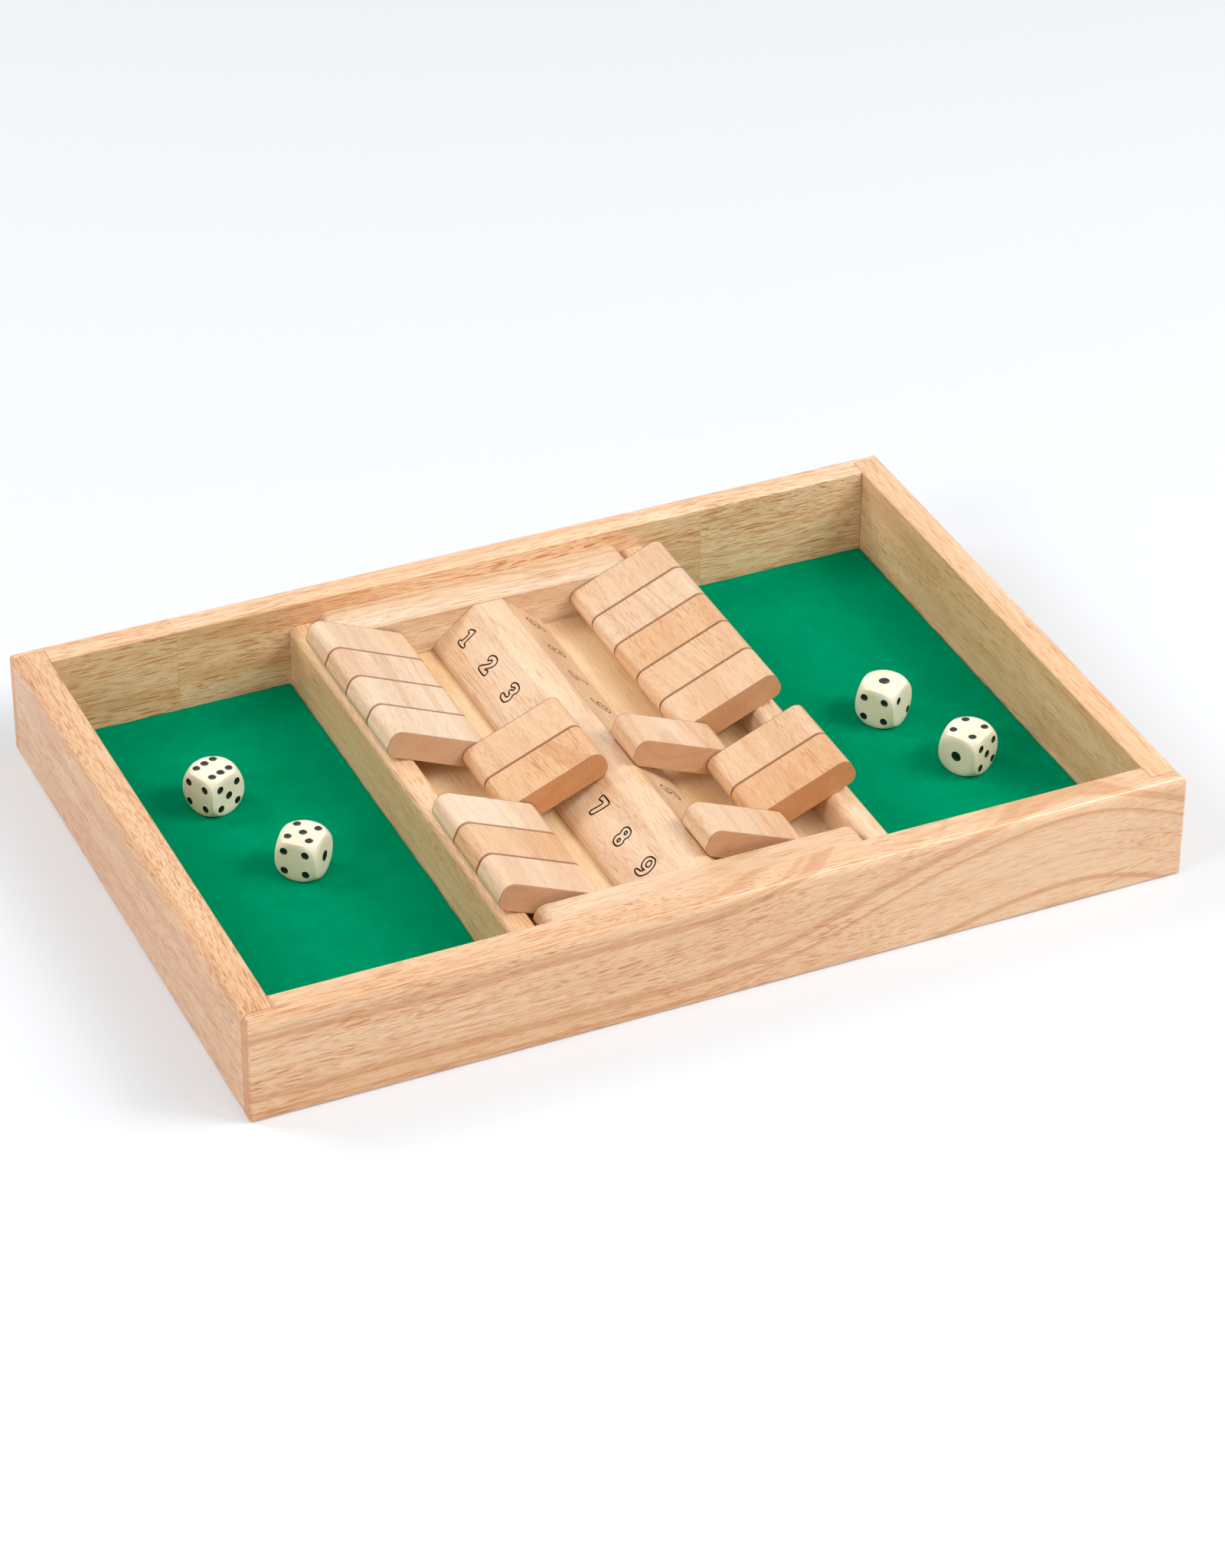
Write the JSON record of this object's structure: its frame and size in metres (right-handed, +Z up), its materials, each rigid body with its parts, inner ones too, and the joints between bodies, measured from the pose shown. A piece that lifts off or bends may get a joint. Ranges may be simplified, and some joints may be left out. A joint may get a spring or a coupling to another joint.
{
  "type": "shut the box game",
  "caption": "Double-sided shut the box dice game: wooden tray with felted dice bays at its ends and a raised deck between, with banks of hinged tiles either side of a sloped number ridge.",
  "frame": {"origin": "middle of the tray's underside, on the surface it stands on", "axes": "+X along the tray's length, +Y towards the back wall, +Z up"},
  "size_m": [0.35, 0.242, 0.0445],
  "materials": {
    "wall_wood": "rubberwood under satin lacquer",
    "fitting_wood": "rubberwood under satin lacquer",
    "tile_wood": "rubberwood under satin lacquer",
    "plywood": "bare sanded plywood",
    "green_felt": "short-pile wool felt",
    "rod_steel": "bright drawn rod",
    "die_plastic": "polished ivory-coloured plastic"
  },
  "bodies": {
    "tray": {"front_wall": "wall_wood", "back_wall": "wall_wood", "left_wall": "wall_wood", "right_wall": "wall_wood", "floor_panel": "plywood", "left_felt": "green_felt", "right_felt": "green_felt", "deck_board": "plywood", "left_rail": "fitting_wood", "right_rail": "fitting_wood", "back_end_block": "fitting_wood", "front_end_block": "fitting_wood", "number_ridge": "fitting_wood", "left_pivot_rod": "rod_steel", "right_pivot_rod": "rod_steel"},
    "left_tile_1": {"left_tile_1": "tile_wood"},
    "left_tile_2": {"left_tile_2": "tile_wood"},
    "left_tile_3": {"left_tile_3": "tile_wood"},
    "left_tile_4": {"left_tile_4": "tile_wood"},
    "left_tile_5": {"left_tile_5": "tile_wood"},
    "left_tile_6": {"left_tile_6": "tile_wood"},
    "left_tile_7": {"left_tile_7": "tile_wood"},
    "left_tile_8": {"left_tile_8": "tile_wood"},
    "left_tile_9": {"left_tile_9": "tile_wood"},
    "right_tile_1": {"right_tile_1": "tile_wood"},
    "right_tile_2": {"right_tile_2": "tile_wood"},
    "right_tile_3": {"right_tile_3": "tile_wood"},
    "right_tile_4": {"right_tile_4": "tile_wood"},
    "right_tile_5": {"right_tile_5": "tile_wood"},
    "right_tile_6": {"right_tile_6": "tile_wood"},
    "right_tile_7": {"right_tile_7": "tile_wood"},
    "right_tile_8": {"right_tile_8": "tile_wood"},
    "right_tile_9": {"right_tile_9": "tile_wood"},
    "left_back_die": {"left_back_die": "die_plastic"},
    "left_front_die": {"left_front_die": "die_plastic"},
    "right_back_die": {"right_back_die": "die_plastic"},
    "right_front_die": {"right_front_die": "die_plastic"}
  },
  "joints": [
    {"name": "left_tile_1_hinge", "type": "hinge", "parent": "tray", "child": "left_tile_1", "pos_m": [-0.0386, 0.0807, 0.027], "axis": [0, 1, 0], "range_deg": [0, 134.2]},
    {"name": "left_tile_2_hinge", "type": "hinge", "parent": "tray", "child": "left_tile_2", "pos_m": [-0.0386, 0.0607, 0.027], "axis": [0, 1, 0], "range_deg": [0, 134.2]},
    {"name": "left_tile_3_hinge", "type": "hinge", "parent": "tray", "child": "left_tile_3", "pos_m": [-0.0386, 0.0407, 0.027], "axis": [0, 1, 0], "range_deg": [0, 134.2]},
    {"name": "left_tile_4_hinge", "type": "hinge", "parent": "tray", "child": "left_tile_4", "pos_m": [-0.0386, 0.0207, 0.027], "axis": [0, 1, 0], "range_deg": [0, 134.2]},
    {"name": "left_tile_5_hinge", "type": "hinge", "parent": "tray", "child": "left_tile_5", "pos_m": [-0.0386, 0.0007, 0.027], "axis": [0, 1, 0], "range_deg": [-134.2, 0]},
    {"name": "left_tile_6_hinge", "type": "hinge", "parent": "tray", "child": "left_tile_6", "pos_m": [-0.0386, -0.0193, 0.027], "axis": [0, 1, 0], "range_deg": [-134.2, 0]},
    {"name": "left_tile_7_hinge", "type": "hinge", "parent": "tray", "child": "left_tile_7", "pos_m": [-0.0386, -0.0393, 0.027], "axis": [0, 1, 0], "range_deg": [0, 134.2]},
    {"name": "left_tile_8_hinge", "type": "hinge", "parent": "tray", "child": "left_tile_8", "pos_m": [-0.0386, -0.0593, 0.027], "axis": [0, 1, 0], "range_deg": [0, 134.2]},
    {"name": "left_tile_9_hinge", "type": "hinge", "parent": "tray", "child": "left_tile_9", "pos_m": [-0.0386, -0.0793, 0.027], "axis": [0, 1, 0], "range_deg": [0, 134.2]},
    {"name": "right_tile_1_hinge", "type": "hinge", "parent": "tray", "child": "right_tile_1", "pos_m": [0.0386, -0.07877, 0.027], "axis": [0, 1, 0], "range_deg": [0, 134.2]},
    {"name": "right_tile_2_hinge", "type": "hinge", "parent": "tray", "child": "right_tile_2", "pos_m": [0.0386, -0.05878, 0.027], "axis": [0, 1, 0], "range_deg": [-134.2, 0]},
    {"name": "right_tile_3_hinge", "type": "hinge", "parent": "tray", "child": "right_tile_3", "pos_m": [0.0386, -0.03877, 0.027], "axis": [0, 1, 0], "range_deg": [-134.2, 0]},
    {"name": "right_tile_4_hinge", "type": "hinge", "parent": "tray", "child": "right_tile_4", "pos_m": [0.0386, -0.01878, 0.027], "axis": [0, 1, 0], "range_deg": [0, 134.2]},
    {"name": "right_tile_5_hinge", "type": "hinge", "parent": "tray", "child": "right_tile_5", "pos_m": [0.0386, 0.00122, 0.027], "axis": [0, 1, 0], "range_deg": [-134.2, 0]},
    {"name": "right_tile_6_hinge", "type": "hinge", "parent": "tray", "child": "right_tile_6", "pos_m": [0.0386, 0.02123, 0.027], "axis": [0, 1, 0], "range_deg": [-134.2, 0]},
    {"name": "right_tile_7_hinge", "type": "hinge", "parent": "tray", "child": "right_tile_7", "pos_m": [0.0386, 0.04122, 0.027], "axis": [0, 1, 0], "range_deg": [-134.2, 0]},
    {"name": "right_tile_8_hinge", "type": "hinge", "parent": "tray", "child": "right_tile_8", "pos_m": [0.0386, 0.06123, 0.027], "axis": [0, 1, 0], "range_deg": [-134.2, 0]},
    {"name": "right_tile_9_hinge", "type": "hinge", "parent": "tray", "child": "right_tile_9", "pos_m": [0.0386, 0.08123, 0.027], "axis": [0, 1, 0], "range_deg": [-134.2, 0]},
    {"name": "left_back_die_lift", "type": "slide", "parent": "tray", "child": "left_back_die", "axis": [0, 0, 1], "range_m": [0, 0.05]},
    {"name": "left_front_die_lift", "type": "slide", "parent": "tray", "child": "left_front_die", "axis": [0, 0, 1], "range_m": [0, 0.05]},
    {"name": "right_back_die_lift", "type": "slide", "parent": "tray", "child": "right_back_die", "axis": [0, 0, 1], "range_m": [0, 0.05]},
    {"name": "right_front_die_lift", "type": "slide", "parent": "tray", "child": "right_front_die", "axis": [0, 0, 1], "range_m": [0, 0.05]}
  ]
}
